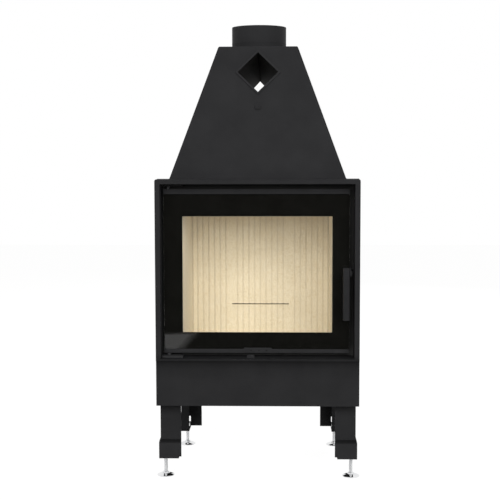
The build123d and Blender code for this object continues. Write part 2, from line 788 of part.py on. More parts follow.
def leg_post(rear):
    """A post in its own corner: u runs inward from the outer side, v from the web into the channel."""
    web = block((0, leg_web), (0, sheet), (leg_bottom, ground_clearance + leg_tab_height))
    side = block((0, sheet), (0, leg_side), (leg_bottom, ground_clearance))
    lip_strip = block((0, leg_lip), (leg_side - sheet, leg_side), (leg_bottom, ground_clearance))
    corner = lip_strip.edges().filter_by(Axis.Y).group_by(Axis.Z)[0].sort_by(Axis.X)[-1]
    lip_strip = chamfer(corner, leg_lip_chamfer)
    post = web + side + lip_strip
    u0 = bolt_place(rear) - bolt_hole / 2
    z0 = z_bolt - (bolt_hole + leg_bolt_play) / 2
    post -= block((u0, u0 + bolt_hole), (0, sheet), (z0, z0 + bolt_hole + leg_bolt_play))
    if rear:
        post -= leg_slot((0, sheet))
    return post


def leg_slot(v):
    """The upright adjusting slot in the rear legs."""
    z0 = leg_bottom + leg_slot_rise
    return block((slot_from_side, slot_from_side + leg_slot_width), v, (z0, z0 + leg_slot_height))


def leg_shoe(rear):
    """A shoe outside the post's foot: web and side with a flared top, and a narrow floor for the nut. The
    front shoes' web tapers at its lower inner corner, and the rear ones have the post's slot."""
    z_flare = shoe_bottom + shoe_height
    outer = shoe_offset + sheet
    far_u = leg_web
    far_v = leg_side + shoe_offset

    def sleeve(z0, gap, top_gap):
        straight = block((-gap, far_u), (-gap, far_v), (z0, z_flare))
        flare = loft(
            [
                make_face(
                    Polyline((-g, -g, z), (far_u, -g, z), (far_u, far_v, z), (-g, far_v, z), close=True)
                )
                for z, g in ((z_flare, gap), (z_flare + shoe_flare_height, top_gap))
            ],
            ruled=True,
        )
        return straight + flare

    shoe = sleeve(shoe_bottom, outer, sheet + seat_gap)
    inside = sleeve(shoe_bottom + shoe_floor, shoe_offset, seat_gap)
    shoe -= inside
    floor_end = foot_place(rear) + weld_nut_width / 2 + shoe_floor_margin
    shoe -= block((floor_end, far_u), (-shoe_offset, far_v), (shoe_bottom, shoe_bottom + shoe_floor))
    stud_hole = foot_stud_diameter + bolt_hole_gap
    shoe -= rod(foot_place(rear), foot_setback, shoe_bottom, shoe_bottom + shoe_floor, stud_hole)
    if rear:
        return shoe - leg_slot((-outer, 0))
    taper = Polyline(
        (far_u - shoe_taper_width, -outer, shoe_bottom),
        (far_u, -outer, shoe_bottom),
        (far_u, -outer, shoe_bottom + shoe_taper_height),
        close=True,
    )
    return shoe - extrude(make_face(taper), sheet, dir=(0, 1, 0))


def levelling_foot(rear):
    """A stud over a flat pad, with a hexagon boss on the pad to turn it by."""
    u = foot_place(rear)
    pad_top = foot_pad_thickness + foot_boss_height
    stud = rod(u, foot_setback, pad_top, z_nut_top + foot_stud_reach, foot_stud_diameter)
    pad = rod(u, foot_setback, 0, foot_pad_thickness, foot_pad_diameter)
    pad += Pos(u, foot_setback, foot_pad_thickness) * hexagon(foot_boss_width, foot_boss_height)
    return [stud, pad]


def weld_nut(rear):
    """The hexagon nut on the shoe's floor."""
    z0 = shoe_bottom + shoe_floor
    nut = Pos(foot_place(rear), foot_setback, z0) * hexagon(weld_nut_width, weld_nut_height, turn=30)
    return nut - rod(foot_place(rear), foot_setback, z0, z_nut_top, foot_stud_diameter + 2 * running_gap)


def leg_bolt(rear):
    """A hexagon bolt through the web's tab and the base, its head outside the web."""
    u = bolt_place(rear)
    bolt = Pos(u, 0, z_bolt) * Rot(90, 0, 0) * hexagon(leg_bolt_head, leg_bolt_head_height)
    return bolt + rod_y(u, 0, 3 * sheet, z_bolt, leg_bolt_diameter)


corners = {
    "front_left": (-1, False),
    "front_right": (1, False),
    "rear_left": (-1, True),
    "rear_right": (1, True),
}


def in_corner(shape, side, rear):
    """Moves a shape from its own corner to a corner of the insert."""
    if rear:
        shape = Pos(0, y_back + sheet, 0) * mirror(shape, Plane.XZ)
        outer_x = rear_leg_outer
    else:
        shape = Pos(0, y_base_front - sheet, 0) * shape
        outer_x = front_leg_outer
    shape = Pos(-outer_x, 0, 0) * shape
    return mirror(shape, Plane.YZ) if side > 0 else shape


for corner, (side, rear) in corners.items():
    save(f"leg_{corner}", in_corner(leg_post(rear), side, rear))
    save(f"shoe_{corner}", in_corner(leg_shoe(rear), side, rear))
    foot = [in_corner(piece, side, rear) for piece in levelling_foot(rear)]
    save(f"foot_{corner}", Compound(children=foot))
nuts = [in_corner(weld_nut(rear), side, rear) for side, rear in corners.values()]
save("weld_nuts", Compound(children=nuts))
bolts = [in_corner(leg_bolt(rear), side, rear) for side, rear in corners.values()]
save("leg_bolts", Compound(children=bolts))
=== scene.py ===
import bpy
import bmesh
import math
import numpy as np
from mathutils import Matrix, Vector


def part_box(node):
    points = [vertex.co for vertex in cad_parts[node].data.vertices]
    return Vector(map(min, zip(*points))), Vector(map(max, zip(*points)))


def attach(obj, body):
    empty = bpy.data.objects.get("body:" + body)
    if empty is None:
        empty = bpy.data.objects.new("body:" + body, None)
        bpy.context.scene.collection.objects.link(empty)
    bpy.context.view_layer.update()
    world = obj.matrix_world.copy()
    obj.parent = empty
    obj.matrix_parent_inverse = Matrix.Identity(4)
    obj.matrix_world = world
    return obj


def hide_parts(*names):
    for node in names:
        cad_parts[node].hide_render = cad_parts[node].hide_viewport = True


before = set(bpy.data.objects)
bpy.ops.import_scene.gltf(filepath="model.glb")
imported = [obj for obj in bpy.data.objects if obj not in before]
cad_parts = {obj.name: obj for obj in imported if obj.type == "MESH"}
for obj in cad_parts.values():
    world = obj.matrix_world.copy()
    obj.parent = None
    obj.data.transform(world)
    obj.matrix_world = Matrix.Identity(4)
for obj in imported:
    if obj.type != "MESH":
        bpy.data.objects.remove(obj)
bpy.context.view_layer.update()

# Camera: stands 3.6 m in front of the surround and 1.04 m above the floor, a little to the right, and looks
# slightly down and to the left.
camera_data = bpy.data.cameras.new("camera")
camera_data.sensor_width = 36.0
camera_data.lens = 83.40
camera = bpy.data.objects.new("camera", camera_data)
camera.location = (0.08538, -3.86023, 1.04416)
pitch, yaw, roll = math.radians(90 - 4.8972), math.radians(1.7241), math.radians(-0.1109)
aim = Matrix.Rotation(yaw, 3, "Z") @ Matrix.Rotation(pitch, 3, "X") @ Matrix.Rotation(roll, 3, "Z")
camera.rotation_euler = aim.to_euler()
bpy.context.scene.collection.objects.link(camera)
bpy.context.scene.camera = camera


# Studio: a pale floor, a wide soft box high in front, a weak one above and one behind for the back, and dark
# flags across the front that only mirrors see. They are placed by what the photo mirrors: a dark pane with a
# pale patch at its lower left, and feet that are both dark and pale.
def linear(colour):
    """An sRGB hex colour as linear red, green, blue and alpha."""
    parts = [int(colour[i : i + 2], 16) / 255 for i in (1, 3, 5)]
    return (*[c / 12.92 if c <= 0.04045 else ((c + 0.055) / 1.055) ** 2.4 for c in parts], 1.0)


def node(tree, kind, inputs=None, **settings):
    """Adds one node, with its settings and with values or links for its inputs."""
    made = tree.nodes.new(kind)
    for name, value in settings.items():
        setattr(made, name, value)
    for name, value in (inputs or {}).items():
        if isinstance(value, bpy.types.NodeSocket):
            tree.links.new(value, made.inputs[name])
        else:
            made.inputs[name].default_value = value
    return made


def blank_material(name):
    """A material with an empty tree and its output node."""
    material = bpy.data.materials.new(name)
    material.use_nodes = True
    material.node_tree.nodes.clear()
    return material, material.node_tree, node(material.node_tree, "ShaderNodeOutputMaterial")


def seen_directly(tree):
    """1 for rays from the camera, off mirrors and through glass, 0 for light on the object."""
    path = node(tree, "ShaderNodeLightPath")
    mirror = node(tree, "ShaderNodeMath", {0: path.outputs["Is Camera Ray"], 1: path.outputs["Is Glossy Ray"]},
                  operation="MAXIMUM")
    return node(tree, "ShaderNodeMath", {0: mirror.outputs[0], 1: path.outputs["Is Transmission Ray"]},
                operation="MAXIMUM").outputs[0]


world = bpy.data.worlds.new("studio")
world.use_nodes = True
world.node_tree.nodes.clear()
ambient = node(world.node_tree, "ShaderNodeBackground", {"Color": linear("#ffffff"), "Strength": 0.26})
white = node(world.node_tree, "ShaderNodeBackground", {"Color": linear("#ffffff"), "Strength": 1.0})
sky = node(world.node_tree, "ShaderNodeMixShader",
           {0: seen_directly(world.node_tree), 1: ambient.outputs[0], 2: white.outputs[0]})
node(world.node_tree, "ShaderNodeOutputWorld", {"Surface": sky.outputs[0]})
bpy.context.scene.world = world
bpy.context.scene.view_settings.view_transform = "Standard"


def flat_panel(name, corners, material):
    """A flat polygon through its corners, outside the object."""
    mesh = bpy.data.meshes.new(name)
    mesh.from_pydata(corners, [], [list(range(len(corners)))])
    mesh.materials.append(material)
    panel = bpy.data.objects.new(name, mesh)
    bpy.context.scene.collection.objects.link(panel)
    return panel


floor_paint, tree, output = blank_material("pale_floor")
matt = node(tree, "ShaderNodeBsdfDiffuse", {"Color": linear("#c9c8c5")})
glow = node(tree, "ShaderNodeEmission", {"Color": linear("#ffffff"), "Strength": 1.12})
share = node(tree, "ShaderNodeMath", {0: seen_directly(tree), 1: 0.86}, operation="MULTIPLY")
floor_mix = node(tree, "ShaderNodeMixShader", {0: share.outputs[0], 1: matt.outputs[0], 2: glow.outputs[0]})
tree.links.new(floor_mix.outputs[0], output.inputs["Surface"])
flat_panel("floor", [(-9, -9, 0), (9, -9, 0), (9, 9, 0), (-9, 9, 0)], floor_paint)

flag_cloth, tree, output = blank_material("black_flag_cloth")
black = node(tree, "ShaderNodeBsdfDiffuse", {"Color": linear("#080808")})
tree.links.new(black.outputs[0], output.inputs["Surface"])
# The low flag leaves a strip of bare floor on the left for that patch, and its cloth thins out towards the
# strip's edges, because the patch has a soft edge
thin_cloth, tree, output = blank_material("black_flag_cloth_thinning")
spot = node(tree, "ShaderNodeSeparateXYZ", {"Vector": node(tree, "ShaderNodeTexCoord").outputs["Object"]})
lean = node(tree, "ShaderNodeMath", {0: spot.outputs["Y"], 1: 0.06, 2: spot.outputs["X"]},
            operation="MULTIPLY_ADD")
sideways = node(tree, "ShaderNodeMapRange", {"Value": lean.outputs[0], "From Min": -0.655, "From Max": -0.590})
forwards = node(tree, "ShaderNodeMapRange", {"Value": spot.outputs["Y"], "From Min": -3.07, "From Max": -3.18})
cover = node(tree, "ShaderNodeMath", {0: sideways.outputs[0], 1: forwards.outputs[0]}, operation="MAXIMUM")
thin_mix = node(tree, "ShaderNodeMixShader", {
    0: cover.outputs[0], 1: node(tree, "ShaderNodeBsdfTransparent").outputs[0],
    2: node(tree, "ShaderNodeBsdfDiffuse", {"Color": linear("#080808")}).outputs[0]})
tree.links.new(thin_mix.outputs[0], output.inputs["Surface"])
flag_half, flag_top, flag_lift, flag_near, flag_far = 1.8, 1.4, 0.002, -2.60, -4.9
flags = [
    flat_panel("flag_upright", [(-flag_half, flag_far, 0), (flag_half, flag_far, 0),
                                (flag_half, flag_far, flag_top), (-flag_half, flag_far, flag_top)], flag_cloth),
    flat_panel("flag_low", [(-4, flag_near, flag_lift), (-4, flag_far, flag_lift),
                            (3.2, flag_far, flag_lift), (3.2, flag_near, flag_lift)], thin_cloth),
]
for flag in flags:
    flag.visible_camera = False
    flag.visible_diffuse = False
    flag.visible_shadow = False
    flag.visible_transmission = False


def soft_box(name, place, aim, width, height, watts):
    """A rectangular area lamp that faces a point."""
    lamp = bpy.data.lights.new(name, "AREA")
    lamp.shape = "RECTANGLE"
    lamp.size, lamp.size_y = width, height
    lamp.energy = watts
    stand = bpy.data.objects.new(name, lamp)
    stand.location = place
    direction = Vector(aim) - Vector(place)
    stand.rotation_euler = direction.to_track_quat("-Z", "Y").to_euler()
    stand.visible_glossy = False
    bpy.context.scene.collection.objects.link(stand)


soft_box("key_light", (0.30, -3.5, 1.95), (0.0, 0.0, 0.65), 4.6, 1.9, 180)
soft_box("top_light", (0.0, -1.6, 4.2), (0.0, -0.1, 0.8), 2.6, 2.6, 30)
soft_box("rear_light", (1.6, 4.0, 2.4), (0.0, 0.0, 0.7), 3.0, 2.2, 110)


# Base tray, base front plate and floor plate: 3 and 4 mm steel sheet, folded and welded into the air box
# under the fire chamber, then sprayed with matt stove paint.
def coated(name, low, high, patch_mm, grain_mm, relief_mm, roughness, shade=None, **sockets):
    """A coat whose colour runs from low to high in slow patches, with a fine grain in its relief and a gloss
    that the grain makes slightly uneven. shade(tree, place, colour), where given, reworks its colour with
    painted light or shade."""
    material, tree, output = blank_material(name)
    place = node(tree, "ShaderNodeTexCoord").outputs["Object"]
    patches, grain = [
        node(tree, "ShaderNodeTexNoise",
             {"Vector": place, "Scale": 1000 / size_mm, "Detail": detail, "Roughness": 0.55}).outputs["Fac"]
        for size_mm, detail in ((patch_mm, 3.0), (grain_mm, 2.0))]
    patchy = node(tree, "ShaderNodeMapRange", {"Value": patches, "From Min": 0.3, "From Max": 0.7})
    colour = node(tree, "ShaderNodeMix", {0: patchy.outputs[0], 6: linear(low), 7: linear(high)},
                  data_type="RGBA").outputs[2]
    if shade is not None:
        colour = shade(tree, place, colour)
    relief = node(tree, "ShaderNodeBump", {"Height": grain, "Strength": 1.0, "Distance": relief_mm / 1000})
    gloss = node(tree, "ShaderNodeMapRange", {"Value": grain, "From Min": 0.3, "From Max": 0.7,
                                              "To Min": roughness[0], "To Max": roughness[1]})
    shader = node(tree, "ShaderNodeBsdfPrincipled", {
        "Base Color": colour,
        "Roughness": gloss.outputs[0],
        "Normal": relief.outputs[0],
        **{socket.replace("_", " "): value for socket, value in sockets.items()},
    })
    tree.links.new(shader.outputs[0], output.inputs["Surface"])
    return material


# Matt heat-resistant stove paint, sprayed on steel: an even anthracite with a dry, slightly grainy face that
# hardly shines, whose droplets of about 1 mm are drawn at 2.5 mm so that they show.
stove_paint = coated("stove_paint_sprayed", "#1f1f20", "#232324", 90, 2.5, 0.05, (0.52, 0.64),
                     Specular_IOR_Level=0.07)
# The same paint on the firebox, taken to be a little browner there, as if burnt in
burnt_in_paint = coated("stove_paint_burnt_in", "#1c1b1a", "#222120", 60, 2.5, 0.05, (0.58, 0.70),
                        Specular_IOR_Level=0.07)


def dress(material, *names):
    """Gives CAD nodes a finish."""
    for name in names:
        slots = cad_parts[name].data.materials
        slots.clear()
        slots.append(material)


dress(stove_paint, "base_tray", "base_front_plate", "floor_plate")


# Combustion air spigot: a short pipe for the outside air duct, welded into the back of the tray, its free
# end rolled into a small bead that holds a hose clamp.
def closed_skin(grids):
    """Vertices and faces of grids of points: each grid's columns close into a ring, and its first and last
    rows are poles or meet each other."""
    points, faces, start = [], [], 0
    for grid in grids:
        rows, columns, _ = grid.shape
        index = start + np.arange(rows * columns).reshape(rows, columns)
        right = np.roll(index, -1, axis=1)
        quads = np.stack([index[:-1], right[:-1], right[1:], index[1:]], axis=-1)
        points.append(grid.reshape(-1, 3))
        faces.append(quads.reshape(-1, 4))
        start += rows * columns
    return np.concatenate(points), np.concatenate(faces)


def piece(name, grids, material, body, replaced=(), crease=40):
    """A mesh from closed grids, its doubles merged and its faces turned outwards; it rides on a body."""
    points, faces = closed_skin(grids)
    mesh = bpy.data.meshes.new(name)
    mesh.from_pydata(points.tolist(), [], faces.tolist())
    work = bmesh.new()
    work.from_mesh(mesh)
    bmesh.ops.remove_doubles(work, verts=work.verts, dist=1e-6)
    bmesh.ops.recalc_face_normals(work, faces=work.faces)
    work.to_mesh(mesh)
    work.free()
    mesh.shade_smooth()
    mesh.set_sharp_from_angle(angle=math.radians(crease))
    mesh.materials.append(material)
    made = bpy.data.objects.new(name, mesh)
    bpy.context.scene.collection.objects.link(made)
    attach(made, body)
    if replaced:
        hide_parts(*replaced)
    return made


def turned(profile, centre, axis=(0, 0, 1), count=96, radius_of=None):
    """A profile of (radius, height) rows turned about an axis through centre: the point at angle a is
    centre + height * axis + radius * (cos a * u + sin a * v). radius_of(radius, height, a) may reshape it."""
    axis = np.array(axis, float) / np.linalg.norm(axis)
    aside = np.array((1.0, 0, 0)) if abs(axis[0]) < 0.9 else np.array((0, 1.0, 0))
    u = aside - axis * (aside @ axis)
    u /= np.linalg.norm(u)
    v = np.cross(axis, u)
    profile = np.array(profile, float)
    angle = np.arange(count) * 2 * math.pi / count
    radius, height = profile[:, 0][:, None], profile[:, 1][:, None]
    if radius_of is not None:
        radius = radius_of(radius, height, angle[None, :])
    radius, height = np.broadcast_arrays(radius + 0 * angle[None, :], height + 0 * angle[None, :])
    around = np.cos(angle)[None, :, None] * u + np.sin(angle)[None, :, None] * v
    return np.array(centre, float) + height[..., None] * axis + radius[..., None] * around


def arc(centre, radius, start, end, count=8):
    """Points on an arc of a profile, from one angle in degrees to another."""
    angle = np.radians(np.linspace(start, end, count))
    return [(centre[0] + radius * math.cos(a), centre[1] + radius * math.sin(a)) for a in angle]


def middle(name):
    """Lowest corner, highest corner and centre of a CAD node, as arrays."""
    low, high = (np.array(corner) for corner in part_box(name))
    return low, high, (low + high) / 2


def pipe_profile(outer, wall, length, bead_at, bead):
    """Closed profile of a thin pipe: the wall stands out by bead times the squared sine of the way over the
    bead, which is four beads wide, and the free rim is a half circle as wide as the wall."""
    half = wall / 2
    out = [(outer, 0.0), (outer, bead_at - 2 * bead)]
    out += [(outer + bead * math.sin(t) ** 2, bead_at - 2 * bead + 4 * bead * t / math.pi)
            for t in np.linspace(0.2, math.pi - 0.2, 10)]
    out += [(outer, bead_at + 2 * bead), (outer, length - half)]
    out += arc((outer - half, length - half), half, 0, 180)
    out += [(outer - wall, 0.0), (outer, 0.0)]
    return out


low, high, centre = middle("air_spigot")
spigot_radius, spigot_wall = (high[0] - low[0]) / 2, 0.0020
spigot_bead, spigot_bead_at = 0.0008, 0.038
spigot_profile = pipe_profile(spigot_radius - spigot_bead, spigot_wall - spigot_bead, high[1] - low[1],
                              spigot_bead_at, spigot_bead)
piece("air_spigot_pipe", [turned(spigot_profile, (centre[0], low[1], centre[2]), (0, 1, 0))],
      stove_paint, "root", ["air_spigot"])


def path_tangents(path, closed):
    """Unit tangents along a path of points."""
    ahead = np.roll(path, -1, axis=0) if closed else np.vstack([path[1:], path[-1:]])
    behind = np.roll(path, 1, axis=0) if closed else np.vstack([path[:1], path[:-1]])
    tangent = ahead - behind
    return tangent / np.linalg.norm(tangent, axis=1, keepdims=True)


def carried(path, section, up, closed=True):
    """A section of (side, up) offsets carried along a path; its side direction is tangent x up. section may
    be one outline for all points or one for each. Open paths get their ends drawn together."""
    path = np.array(path, float)
    up = np.broadcast_to(np.array(up, float), path.shape)
    side = np.cross(path_tangents(path, closed), up)
    side /= np.linalg.norm(side, axis=1, keepdims=True)
    section = np.array(section, float)
    if section.ndim == 2:
        section = np.broadcast_to(section, (len(path), *section.shape))
    grid = path[:, None] + section[..., :1] * side[:, None] + section[..., 1:] * up[:, None]
    if closed:
        return np.concatenate([grid, grid[:1]])
    ends = [grid[k].mean(axis=0, keepdims=True).repeat(grid.shape[1], axis=0)[None] for k in (0, -1)]
    return np.concatenate([ends[0], grid, ends[1]])


def evenly(corners, step, closed=True):
    """Points every step along the straight runs between corners, and the distance of each from the start."""
    corners = np.array(corners, float)
    if closed:
        corners = np.vstack([corners, corners[:1]])
    runs = np.linalg.norm(np.diff(corners, axis=0), axis=1)
    along = np.concatenate([[0], np.cumsum(runs)])
    count = int(round(along[-1] / step))
    travel = np.linspace(0, along[-1], count, endpoint=not closed)
    return np.stack([np.interp(travel, along, corners[:, k]) for k in range(3)], axis=-1), travel


def weld_bead(corners, up, size, ripple=0.0026, closed=True):
    """A weld: a round section whose radius swells and sinks once for every ripple along the seam."""
    path, travel = evenly(corners, ripple / 4, closed)
    swell = size * (1 + 0.12 * np.sin(2 * math.pi * travel / ripple))
    angle = np.arange(8) * 2 * math.pi / 8
    section = swell[:, None, None] * np.stack([np.cos(angle), np.sin(angle)], axis=-1)[None]
    return carried(path, section, up, closed)


def circle_path(centre, radius, axis, count=120):
    """Points on a circle about an axis."""
    return turned([(radius, 0.0)], centre, axis, count)[0]


# A weld's middle line lies 0.3 mm off the corner that it fills, and it is painted over with the rest
weld_size, weld_off = 0.0016, 0.0003
spigot_seam = circle_path((centre[0], low[1] + weld_off, centre[2]), spigot_radius + weld_off, (0, 1, 0))
piece("air_spigot_weld", [weld_bead(spigot_seam, (0, 1, 0), weld_size)],
      stove_paint, "root")

# Damper plate with its guide studs and lever: laser-cut 3 mm steel, zinc plated where it rubs; the lever is
# the painted strip that reaches up through the shelf.
# Zinc plating, bright passivated: a cool pale metal with a faint cloudy grain
bright_zinc = coated("zinc_plate_bright", "#d2d3d4", "#e6e6e5", 12, 0.8, 0.004, (0.10, 0.22), Metallic=1.0)
dress(bright_zinc, "damper_plate", "damper_studs")
# Satin black stove paint on the small parts that hands touch, smoother than on the casing
satin_paint = coated("stove_paint_satin", "#1b1b1c", "#1f1f20", 30, 2.0, 0.03, (0.45, 0.56),
                     Specular_IOR_Level=0.12)
# The lever and the lower glass strip get a paler copy of the satin paint, which is painted light
satin_paint_painted_light = coated("stove_paint_satin_painted_light", "#232324", "#272728", 30, 2.0, 0.03, (0.45, 0.56),
                     Specular_IOR_Level=0.12)
dress(satin_paint_painted_light, "air_lever")

# Firebox: seat plate, side, back and top plates, all 4 mm steel welded into one gas-tight shell, with a
# convex bead along the rear corners and a fillet bead where the sides meet the seat plate.
dress(burnt_in_paint, "firebox_left", "firebox_right", "firebox_back", "firebox_top")
shell_low, shell_high, _ = middle("firebox_back")
seat_low, seat_high, _ = middle("door_seat_plate")


def painted_shade_by_height(tones):
    """A painted shade for a coat: its colour times a tone that runs straight between rows of (height, tone)."""
    def shade(tree, place, colour):
        foot, head = tones[0][0], tones[-1][0]
        height = node(tree, "ShaderNodeSeparateXYZ", {"Vector": place}).outputs["Z"]
        run = node(tree, "ShaderNodeMapRange", {"Value": height, "From Min": foot, "From Max": head})
        ramp = node(tree, "ShaderNodeValToRGB", {"Fac": run.outputs[0]})
        stops = ramp.color_ramp.elements
        stops[0].color, stops[1].color = (*[tones[0][1]] * 3, 1.0), (*[tones[-1][1]] * 3, 1.0)
        for level, tone in tones[1:-1]:
            stops.new((level - foot) / (head - foot)).color = (tone, tone, tone, 1.0)
        return node(tree, "ShaderNodeMix", {0: 1.0, 6: colour, 7: ramp.outputs["Color"]},
                    data_type="RGBA", blend_type="MULTIPLY").outputs[2]
    return shade


# The seat plate's foot is painted as pale as the photo shows it under the door, which is painted light,
# and above it painted shade makes it about as dark as the firebox
seat_plate_painted_light_and_shade = coated(
    "stove_paint_seat_plate_painted_light_and_shade", "#323231", "#383837", 60, 2.5, 0.05, (0.58, 0.70),
    painted_shade_by_height([(seat_low[2], 1.0), (seat_low[2] + 0.030, 1.0), (seat_low[2] + 0.060, 0.45), (seat_high[2], 0.45)]),
    Specular_IOR_Level=0.07)
dress(seat_plate_painted_light_and_shade, "door_seat_plate")
corner_bead = 0.0014
corner_inset = 0.0009
seams = []
for side in (-1, 1):
    for x, y in ((side * (shell_high[0] - corner_inset), shell_high[1] - corner_inset),
                 (side * (shell_high[0] + corner_inset / 2), seat_high[1] + corner_inset / 2)):
        seams.append(weld_bead([(x, y, shell_low[2] + 0.002), (x, y, shell_high[2] - 0.002)], (0, 1, 0),
                               corner_bead, closed=False))
piece("firebox_weld_seams", seams, burnt_in_paint, "root")

# Lining: pressed vermiculite boards, cream with golden and brown flakes of mica up to 3 mm, a dry crumbly
# face and crisp moulded grooves.
flake_mm = 2.6


def vermiculite(name, pale, dark, groove_corner=None):
    """Pressed vermiculite in two tones; groove_corner is the lower left front corner of a grooved wall, which
    gets painted shade, a browner tone, in its grooves and along the side boards, to match the dark lines that
    the photo shows there."""
    material, tree, output = blank_material(name)
    place = node(tree, "ShaderNodeTexCoord").outputs["Object"]
    clouds, crumbs = [
        node(tree, "ShaderNodeTexNoise",
             {"Vector": place, "Scale": 1000 / size_mm, "Detail": 4.0, "Roughness": rough}).outputs["Fac"]
        for size_mm, rough in ((70, 0.55), (1.6, 0.7))]
    flakes = node(tree, "ShaderNodeTexVoronoi", {"Vector": place, "Scale": 1000 / flake_mm, "Randomness": 1.0})
    flake_tone = node(tree, "ShaderNodeSeparateColor", {"Color": flakes.outputs["Color"]}).outputs[0]
    cloudy = node(tree, "ShaderNodeMapRange", {"Value": clouds, "From Min": 0.3, "From Max": 0.7})
    ground = node(tree, "ShaderNodeMix", {0: cloudy.outputs[0], 6: linear(pale[0]), 7: linear(pale[1])},
                  data_type="RGBA")
    flaky = node(tree, "ShaderNodeMapRange", {"Value": flake_tone, "From Min": 0.05, "From Max": 0.6})
    flecks = node(tree, "ShaderNodeMix", {0: flaky.outputs[0], 6: linear(dark), 7: linear(pale[1])},
                  data_type="RGBA")
    colour = node(tree, "ShaderNodeMix", {0: 0.4, 6: ground.outputs[2], 7: flecks.outputs[2]},
                  data_type="RGBA").outputs[2]
    if groove_corner is not None:
        spot = node(tree, "ShaderNodeSeparateXYZ", {"Vector": place})
        groove = node(tree, "ShaderNodeMapRange",
                      {"Value": spot.outputs["Y"], "From Min": groove_corner[1] + 0.0003,
                       "From Max": groove_corner[1] + 0.0020, "To Max": 0.12})
        aside = node(tree, "ShaderNodeMath", {0: spot.outputs["X"]}, operation="ABSOLUTE")
        corner = node(tree, "ShaderNodeMapRange",
                      {"Value": aside.outputs[0], "From Min": -groove_corner[0] - 0.0058,
                       "From Max": -groove_corner[0] - 0.0045, "To Max": 0.35})
        painted_shade_mask = node(tree, "ShaderNodeMath", {0: groove.outputs[0], 1: corner.outputs[0]}, operation="MAXIMUM")
        colour = node(tree, "ShaderNodeMix", {0: painted_shade_mask.outputs[0], 6: colour, 7: linear("#8f7c5e")},
                      data_type="RGBA").outputs[2]
    relief = node(tree, "ShaderNodeBump", {"Height": crumbs, "Strength": 1.0, "Distance": 0.0003})
    dull = node(tree, "ShaderNodeMapRange",
                {"Value": crumbs, "From Min": 0.3, "From Max": 0.7, "To Min": 0.82, "To Max": 0.95})
    shader = node(tree, "ShaderNodeBsdfPrincipled", {
        "Base Color": colour, "Roughness": dull.outputs[0],
        "Specular IOR Level": 0.2, "Normal": relief.outputs[0]})
    tree.links.new(shader.outputs[0], output.inputs["Surface"])
    return material


board_tones = ("#efe4cd", "#f6edda")
dress(vermiculite("vermiculite_board_grooved", board_tones, "#dccaa3", middle("lining_back_left")[0]),
      "lining_back_left", "lining_back_right", "lining_back_lower", "lining_back_upper")
# The side boards are a paler copy of the board, which is painted light, as they are paler in the photo; the
# hearth and the baffle are taken as denser, browner ones
dress(vermiculite("vermiculite_board_painted_light", ("#faf2e2", "#fff9ec"), "#ead9b6"), "lining_left", "lining_right")
dress(vermiculite("vermiculite_board_dense", ("#c4b596", "#cdbf9f"), "#a9966f"),
      "hearth_boards", "baffle_boards")
dress(burnt_in_paint, "baffle_bar")

# Hood: four leaning 3 mm plates and a folded cap, welded along the corners and round the foot, and the heat
# exchange duct that runs right through it and is welded in at both ends.
dress(stove_paint, "hood_front", "hood_back", "hood_left", "hood_right", "hood_cap")
hood_front_low, hood_front_high, _ = middle("hood_front")
_, hood_back_high, _ = middle("hood_back")
cap_low, cap_high, _ = middle("hood_cap")
foot_z, cap_z = hood_front_low[2], cap_low[2]
foot_corners = [(side_x * hood_front_high[0], y, foot_z)
                for side_x, y in ((-1, hood_front_low[1]), (1, hood_front_low[1]),
                                  (1, hood_back_high[1]), (-1, hood_back_high[1]))]
top_corners = [(side_x * cap_high[0], y, cap_z)
               for side_x, y in ((-1, cap_low[1]), (1, cap_low[1]), (1, cap_high[1]), (-1, cap_high[1]))]
hood_centre = np.array([0.0, (hood_front_low[1] + hood_back_high[1]) / 2])
seams = []
for foot_corner, top_corner in zip(foot_corners, top_corners):
    ends = np.array([foot_corner, top_corner])
    inward = hood_centre - ends[:, :2]
    ends[:, :2] += corner_inset * inward / np.linalg.norm(inward, axis=1, keepdims=True)
    seams.append(weld_bead(ends, (0, 0, 1), corner_bead, closed=False))
fine_bead, foot_ripple, foot_lift = 0.0012, 0.0032, 0.0002
seams.append(weld_bead(np.array(foot_corners) + (0, 0, foot_lift), (0, 0, 1), fine_bead, foot_ripple))
piece("hood_weld_seams", seams, stove_paint, "root")

duct_low, duct_high, _ = middle("heat_exchange_duct")
duct_reach = (duct_high[0] - duct_low[0]) / 2
duct_proud = 0.004


def leaning(bottom, top):
    """Unit vector up a hood face, from a point at its foot to one at its cap, in the middle plane."""
    way = np.array([0.0, top[1] - bottom[1], top[2] - bottom[2]])
    return way / np.linalg.norm(way)


up_front = leaning(foot_corners[0], top_corners[0])
up_back = leaning(foot_corners[2], top_corners[2])
duct_way = np.array([0.0, up_front[2], -up_front[1]])
duct_centre = np.array([0.0, 0.0, duct_high[2] - duct_reach * up_front[2] - duct_proud * up_front[1]])
duct_centre[1] = foot_corners[0][1] + (duct_centre[2] - foot_z) * up_front[1] / up_front[2]
front_diamond = [duct_centre + duct_reach * (math.cos(a) * np.array([1.0, 0, 0]) + math.sin(a) * up_front)
                 for a in np.arange(4) * math.pi / 2]
back_normal = np.array([0.0, up_back[2], -up_back[1]])
back_foot = np.array(foot_corners[2])
back_diamond = [corner + duct_way * ((back_foot - corner) @ back_normal) / (duct_way @ back_normal)
                for corner in front_diamond]


def painted_rim_light(tree, place, colour):
    """Painted light on the duct's rim: the colour, but a paler one on the first millimetre of the duct, by the
    depth along duct_way.
    """
    rim_depth = float((duct_centre - duct_proud * duct_way) @ duct_way)
    depth = node(tree, "ShaderNodeVectorMath", {0: place, 1: tuple(duct_way)}, operation="DOT_PRODUCT")
    inside = node(tree, "ShaderNodeMapRange", {"Value": depth.outputs["Value"], "From Min": rim_depth + 0.0004,
                                               "From Max": rim_depth + 0.0020})
    return node(tree, "ShaderNodeMix", {0: inside.outputs[0], 6: linear("#262627"), 7: colour},
                data_type="RGBA").outputs[2]
